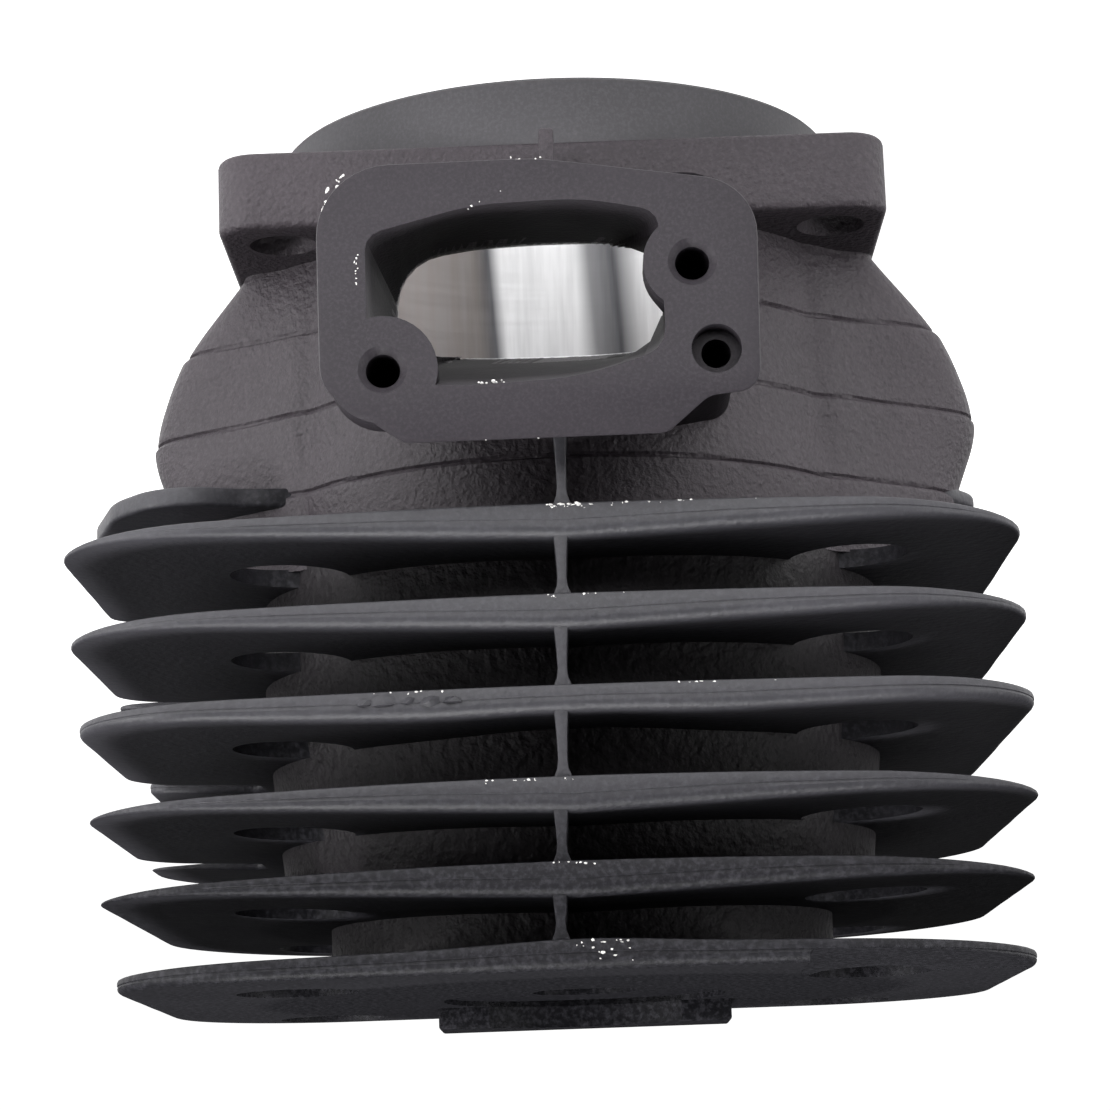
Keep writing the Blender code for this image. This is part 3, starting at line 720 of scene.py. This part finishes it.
def fin_upper(index, x):
    """Height of a fin's head side. The third fin dips in the middle, and the head fin is flat."""
    if index == HEAD_FIN:
        return FIN_TOPS[index]
    dip = 0.9 * math.exp(-((x / 12.0) ** 2)) if index == 2 else 0.0
    return FIN_TOPS[index] + 0.1 - UPPER_SLOPE[index] * abs(x) - dip


def fin_lower(index, x):
    """Height of a fin's crankcase side. The head fin has a blunt ridge in the middle."""
    share = (x / LOWER_RISE_AT) ** 2
    if index == HEAD_FIN:
        ridge = 0.65
        rise = (LOWER_RISE[index] - ridge) * share
        return FIN_LOWS[index] + ridge - ridge * math.exp(-((x / 12.0) ** 2)) + rise
    return FIN_LOWS[index] + 0.3 + LOWER_RISE[index] * share


def fin_outline(index):
    """A fin's plan, with the gap in its left side, evenly sampled."""
    left, left_radius = FIN_LEFT[index]
    right, right_radius = FIN_RIGHT[index]
    rear, rear_radius = FIN_REAR[index]
    corners = [(-right, -FIN_FRONT, right_radius), (0.0, -FIN_FRONT - 0.3, 150.0),
               (left, -FIN_FRONT, left_radius)]
    if index < len(SIDE_NOTCH):
        start, end, radius = SIDE_NOTCH[index]
        corners += [(left - 0.3, start, radius), (NOTCH_X, start, 1.2), (NOTCH_X, end, 1.2),
                    (FIN_LEFT_REAR[index], end, 2.6)]
    corners += [(FIN_LEFT_REAR[index], rear, rear_radius), (-right, rear, rear_radius)]
    return resample(rounded(corners, 12), 520)


def edge_profile(thick):
    """The fin's edge as (inset, height) steps: a crisp corner, a parting groove and a rounded corner."""
    crisp = min(0.3, 0.2 * thick)
    soft = min(1.25, 0.42 * thick)
    flat = thick - crisp - soft
    groove = crisp + 0.72 * flat
    half = min(0.12, 0.15 * flat)
    deep = 0.17 * min(1.0, max(0.06, (thick - 1.0) / 1.2))
    steps = [(crisp + 0.5, 0.0), (crisp, 0.0), (0.3 * crisp, 0.3 * crisp), (0.0, crisp)]
    steps += [(0.0, groove - half), (deep, groove - 0.2 * half), (deep, groove + 0.3 * half)]
    for k in range(5):
        turn = math.pi / 8 * k
        steps.append((0.35 * deep + soft * (1 - math.cos(turn)), thick - soft + soft * math.sin(turn)))
    steps.append((soft + 0.6, thick))
    return steps


def make_fin_plate(index):
    """A flat plate BLANK thick with the moulded edge. fold_fin gives it its real height later."""
    outline = [Vector(point) for point in fin_outline(index)]
    count = len(outline)
    rings = []
    for i, point in enumerate(outline):
        along = (outline[(i + 1) % count] - outline[i - 1]).normalized()
        inward = Vector((-along.y, along.x))
        thick = fin_upper(index, point.x) - fin_lower(index, point.x)
        wobble = 0.07 * noise.noise(Vector((point.x * 0.11, point.y * 0.11, index * 7.0)))
        for level, (inset, rise) in enumerate(edge_profile(thick)):
            if level == len(rings):
                rings.append([])
            place = point + inward * (inset + 0.08 + wobble)
            rings[level].append((place.x, place.y, BLANK * rise / thick))
    return loft(f"fin_{index + 1}", rings)


def fold_fin(fin, index):
    """Slices the plate into narrow strips and moves them to the height of the drafted faces."""
    shape = bmesh.new()
    shape.from_mesh(fin.data)
    bmesh.ops.triangulate(shape, faces=[face for face in shape.faces if len(face.verts) > 4])
    for step in range(-19, 20):
        every = shape.verts[:] + shape.edges[:] + shape.faces[:]
        cut = Vector((step * STRIP + 0.1, 0.0, 0.0)) * MM
        bmesh.ops.bisect_plane(shape, geom=every, plane_co=cut, plane_no=(1, 0, 0))
    for vertex in shape.verts:
        x = vertex.co.x / MM
        low, high = fin_lower(index, x), fin_upper(index, x)
        vertex.co.z = (low + vertex.co.z / MM / BLANK * (high - low)) * MM
    shape.to_mesh(fin.data)
    shape.free()
    fin.data.set_sharp_from_angle(angle=math.radians(30))


def make_fin(index, material):
    """A large fin with its driver holes. The head fin has the plug's seat too, and slopes at the right."""
    fin = make_fin_plate(index)
    below, above = -1.0, BLANK + 1.0
    cutters = bolt_cutters("cutter_columns", ACCESS_R, below, above)
    if index < HEAD_FIN:
        core = 29.6 if index == 4 else 34.6
        cutters.append(prism("cutter_fin_core", circle(core, segments=120), below, above))
    else:
        cutters.append(prism("cutter_spotface", circle(SPOTFACE_R, segments=96), BLANK - 0.7, above))
        cutters.append(prism("cutter_plug", circle(PLUG_R), below, above))
    if index == 0:
        cutters.append(prism("cutter_neck_gap", box_outline(-17.2, 17.2, 34.0, 60.0), below, above))
    combine(fin, cutters)
    fold_fin(fin, index)
    if index == HEAD_FIN:
        front, top = -FIN_FRONT - 2.0, FIN_TOPS[index]
        slope = [(front, top - 1.35), (-28.0, top + 0.05), (-28.0, top + 2.0), (front, top + 2.0)]
        wedge = extrude("cutter_slope", [(-23.8, y, z) for y, z in slope], (-60.0, 0.0, 0.0))
        bevel(wedge, 0.5, 3)
        combine(fin, [wedge])
    nodes = [f"cooling_fin_{index + 1}"] + ([f"front_web_{index + 1}"] if index < HEAD_FIN else [])
    keep(fin, "black_paint", material, *nodes)


def make_webs(material):
    """The thin webs on the middle line, flared where they run into the fins."""
    buried = 0.7
    lows = [intake_high.z - 4.0] + [fin_upper(i, 0.0) - buried for i in range(HEAD_FIN)]
    highs = [fin_lower(i, 0.0) + buried for i in range(HEAD_FIN + 1)]
    for index, (x, low, high) in enumerate(zip(WEB_X, lows, highs)):
        side = [(0.8, low), (0.7, low + 1.2), (0.6, low + 2.4),
                (0.5, high - 2.6), (0.62, high - 1.6), (0.9, high - 0.9), (1.2, high)]
        outline = [(x - reach, z) for reach, z in side] + [(x + reach, z) for reach, z in reversed(side)]
        web = prism_y(f"web_{index}", outline, -49.7, -30.0)
        bevel(web, 0.22, 2)
        keep(web, "black_paint", material)


def make_low_fins(material):
    """The lowest fin, in two parts, one outside each duct."""
    low, high = node_box("cooling_fin_0_left")
    for name, corners in (("left", LOW_FIN_LEFT), ("right", LOW_FIN_RIGHT)):
        fin = prism(f"low_fin_{name}", rounded(corners, 8), low.z + 0.3, high.z)
        bevel(fin, 0.9, 4)
        core = prism("cutter_low_core", circle(33.0, segments=96), low.z - 2, high.z + 2)
        combine(fin, [core] + bolt_cutters("cutter_low", ACCESS_R, low.z - 2, high.z + 2))
        keep(fin, "black_paint", material, f"cooling_fin_0_{name}")


def make_rear_boss(material):
    """The bar on the head end, cut round by the plug's seat."""
    top = FIN_TOPS[HEAD_FIN]
    outline = box_outline(boss_low.x, boss_high.x, 12.0, boss_high.y)
    boss = prism("boss", outline, top - 0.8, boss_high.z)
    bevel(boss, 0.3, 2)
    combine(boss, [prism("cutter_boss_ring", circle(SPOTFACE_R, segments=96), top - 2, boss_high.z + 1)])
    keep(boss, "black_paint", material, "rear_boss")


# ---- bore -----------------------------------------------------------------------------------------


def make_bore(material):
    """The bright running surface, with the ports and transfer windows through it."""
    profile = [(BORE_R + 0.3, liner_low.z + 0.1), (WALL_R + 0.1, liner_low.z), (WALL_R + 0.1, liner_high.z),
               (BORE_R, liner_high.z), (BORE_R, liner_low.z + 0.5)]
    bore = revolve("bore_surface", profile, 220, 25)
    cutters = [loft("cutter_bore_intake", passage_rings())]
    cutters.append(prism_y("cutter_bore_exhaust", exhaust_passage(), *EXHAUST_CUT))
    for low, high in TRANSFER_WINDOWS:
        cutters.append(prism(f"cutter_bore_{low}", box_outline(-45, 45, -7.5, 7.5), low, high))
    combine(bore, cutters)
    keep(bore, "bright_bore", material, "bore_liner")


# ---- knocked-off paint ----------------------------------------------------------------------------


def add_flake(shape, place, along, length, height, draw, deep=0.09):
    """An irregular flake on a face that looks towards -Y, as a squashed and roughened ball."""
    made = bmesh.ops.create_icosphere(shape, subdivisions=1, radius=1.0)["verts"]
    inward = Vector((0.0, 1.0, 0.0))
    across = along.cross(inward).normalized()
    for vertex in made:
        rough = 1.0 + draw.uniform(-0.35, 0.35)
        x, y, z = vertex.co * rough
        vertex.co = (place + along * x * length + inward * y * deep + across * z * height) * MM


def make_chips(material):
    """Bright flecks where paint gets knocked off: the intake's edges and face, and the fins' edges."""
    draw = random.Random(11)
    shape = bmesh.new()
    runs = [(run, EDGE_INSET) for run in CHIP_RUNS] + [(run, FACE_INSET) for run in FACE_CHIP_RUNS]
    for ((x0, z0), (x1, z1), number, size), inset in runs:
        for _ in range(number):
            share = draw.random()
            place = Vector((x0 + (x1 - x0) * share, INTAKE_FACE + inset, z0 + (z1 - z0) * share))
            place += Vector((draw.gauss(0, 0.12), 0.0, draw.gauss(0, 0.12)))
            along = Vector((x1 - x0, 0.0, z1 - z0)).normalized()
            add_flake(shape, place, along, draw.uniform(0.3, 1.0) * size, draw.uniform(0.06, 0.16), draw)
    for index, x0, x1, number, size in FIN_CHIPS:
        for _ in range(number):
            x = draw.gauss((x0 + x1) / 2, (x1 - x0) / 4)
            spread = 1.0 if index == HEAD_FIN else 0.25
            z = fin_lower(index, x) + min(2.2, abs(draw.gauss(0.0, spread))) + 0.12
            y = -FIN_FRONT + 0.06 - 0.3 * max(0.0, 1.0 - abs(x) / 30.0)
            add_flake(shape, Vector((x, y + 0.05, z)), Vector((1.0, 0.0, 0.0)),
                      draw.uniform(0.2, 1.0) * size, draw.uniform(0.05, 0.18), draw)
    keep(finish_object("paint_chips", shape), "black_paint", material)


def make_flash(material):
    """Lumps of casting flash left on the edge of the third fin."""
    draw = random.Random(4)
    shape = bmesh.new()
    for x, length, height in FLASH_LUMPS:
        place = Vector((x, 0.2 - FIN_FRONT, fin_lower(2, x) + 1.1))
        add_flake(shape, place, Vector((1.0, 0.0, 0.0)), length, height, draw, 0.75)
    keep(finish_object("casting_flash", shape), "black_paint", material)


# ---- floor, light and camera ----------------------------------------------------------------------

IMAGE_PIXELS = 1110.0
FOCAL_PIXELS = 3242.0
CAMERA_ANGLES = (-0.26, 11.16, 2.02)
CAMERA_PLACE = (-0.0001, -0.3918, 0.1270)


def make_floor():
    """A pale glowing floor. Its glow falls off in front, which leaves the fins their shadows."""
    floor = prism("floor", box_outline(-9000, 9000, -4000, 14000), -10.0, 0.0)
    material, tree, shader = new_material("floor_card")
    speckle = add_ramp(tree, add_noise(tree, 3.0, 2.0), [(0.3, (0.90, 0.90, 0.90)), (0.7, (0.93, 0.93, 0.93))])
    tree.links.new(speckle, shader.inputs["Base Color"])
    shader.inputs["Roughness"].default_value = 0.9
    shader.inputs["Emission Color"].default_value = (1.0, 1.0, 1.0, 1.0)
    forward = add_math(tree, "MULTIPLY", add_math(tree, "ADD", add_position(tree)[1], 0.6), 2.0)
    glow = add_ramp(tree, forward, [(0.4, 0.15), (0.8, 1.0)])
    tree.links.new(add_math(tree, "MULTIPLY", glow, 1.05), shader.inputs["Emission Strength"])
    floor.data.materials.append(material)


def add_area(name, place, target, size, power, size_y=None):
    """A soft lamp at a place in metres, turned to a target, with its power in watts."""
    data = bpy.data.lights.new(name, "AREA")
    data.energy = power
    data.shape = "RECTANGLE"
    data.size = size
    data.size_y = size_y or size
    data.spread = math.radians(120)
    lamp = bpy.data.objects.new(name, data)
    lamp.location = place
    lamp.visible_camera = False
    lamp.rotation_mode = "QUATERNION"
    lamp.rotation_quaternion = (Vector(target) - Vector(place)).to_track_quat("-Z", "Y")
    bpy.context.scene.collection.objects.link(lamp)


def make_light():
    """Besides the floor's glow: a low strip in front, one lamp on each side, one overhead, and a faint sky."""
    world = bpy.data.worlds.new("studio")
    bpy.context.scene.world = world
    world.use_nodes = True
    sky = world.node_tree.nodes["Background"]
    sky.inputs["Color"].default_value = (1.0, 1.0, 1.0, 1.0)
    sky.inputs["Strength"].default_value = 0.04
    add_area("key", (0.03, -0.155, 0.006), (0.01, -0.045, 0.024), 0.34, 0.13, 0.05)
    add_area("side_left", (0.55, -0.22, 0.2), (0.04, -0.02, 0.06), 0.2, 1.35)
    add_area("side_right", (-0.55, -0.22, 0.2), (-0.04, -0.02, 0.06), 0.2, 0.75)
    add_area("overhead", (0.1, -0.2, 0.62), (0.0, -0.02, 0.1), 0.25, 2.0)


def make_camera():
    """Looks at the intake side from a little above, turned upside down, as the cylinder is shown."""
    bpy.context.scene.view_settings.view_transform = "Standard"
    data = bpy.data.cameras.new("camera")
    data.sensor_width = 36.0
    data.lens = FOCAL_PIXELS / IMAGE_PIXELS * data.sensor_width
    data.clip_start = 0.01
    data.clip_end = 60.0
    yaw, pitch, roll = (math.radians(angle) for angle in CAMERA_ANGLES)
    turn = Matrix(((math.cos(yaw), -math.sin(yaw), 0), (math.sin(yaw), math.cos(yaw), 0), (0, 0, 1)))
    swap = Matrix(((1, 0, 0), (0, 0, 1), (0, 1, 0)))
    tilt = Matrix(((1, 0, 0), (0, math.cos(pitch), -math.sin(pitch)), (0, math.sin(pitch), math.cos(pitch))))
    spin = Matrix(((math.cos(roll), -math.sin(roll), 0), (math.sin(roll), math.cos(roll), 0), (0, 0, 1)))
    flip = Matrix(((-1, 0, 0), (0, 1, 0), (0, 0, -1)))
    rows = spin @ tilt @ swap @ turn @ flip
    facing = Matrix((rows[0], rows[1], -rows[2])).transposed().to_4x4()
    camera = bpy.data.objects.new("camera", data)
    camera.matrix_world = Matrix.Translation(CAMERA_PLACE) @ facing
    bpy.context.scene.collection.objects.link(camera)
    bpy.context.scene.camera = camera


# ---- all together ---------------------------------------------------------------------------------

make_camera()
make_light()
make_floor()

# Painted shade: a darker, less shiny copy of the cast paint for the barrel between the fins and the head,
# which lie in shade.
barrel_shade_paint = make_paint(
    "shaded_barrel_paint", (0.007, 0.006, 0.007), (0.012, 0.010, 0.012), 900.0, 0.4, specular=0.2)
cast = make_paint("cast_paint", (0.022, 0.0178, 0.022), (0.040, 0.033, 0.039), 1300.0, 0.3, specular=0.33)
# fin_paint carries painted shade: darker towards the head end and the fins' roots.
fin_paint = make_paint("fin_paint", (0.021, 0.0205, 0.0245), (0.032, 0.031, 0.037), 900.0, 0.12, painted_shade=0.7)
# machined_paint carries painted shade: darker from the intake face back into the passage.
face_paint = make_paint(
    "machined_paint", (0.017, 0.0145, 0.018), (0.023, 0.0198, 0.0242), 1500.0, 0.07, specular=0.2, passage_shade=0.75)
spigot_paint = make_paint("spigot_paint", (0.034, 0.032, 0.036), (0.044, 0.042, 0.047), 1500.0, 0.03)

make_body(cast)
make_upper_barrel(barrel_shade_paint)
make_flange(cast, spigot_paint)
make_intake(face_paint)
make_exhaust(face_paint)
for fin_index in range(HEAD_FIN + 1):
    make_fin(fin_index, fin_paint)
make_webs(fin_paint)
make_low_fins(fin_paint)
make_rear_boss(fin_paint)
make_bore(make_bright_bore())
make_flash(fin_paint)
make_chips(make_chip_metal())
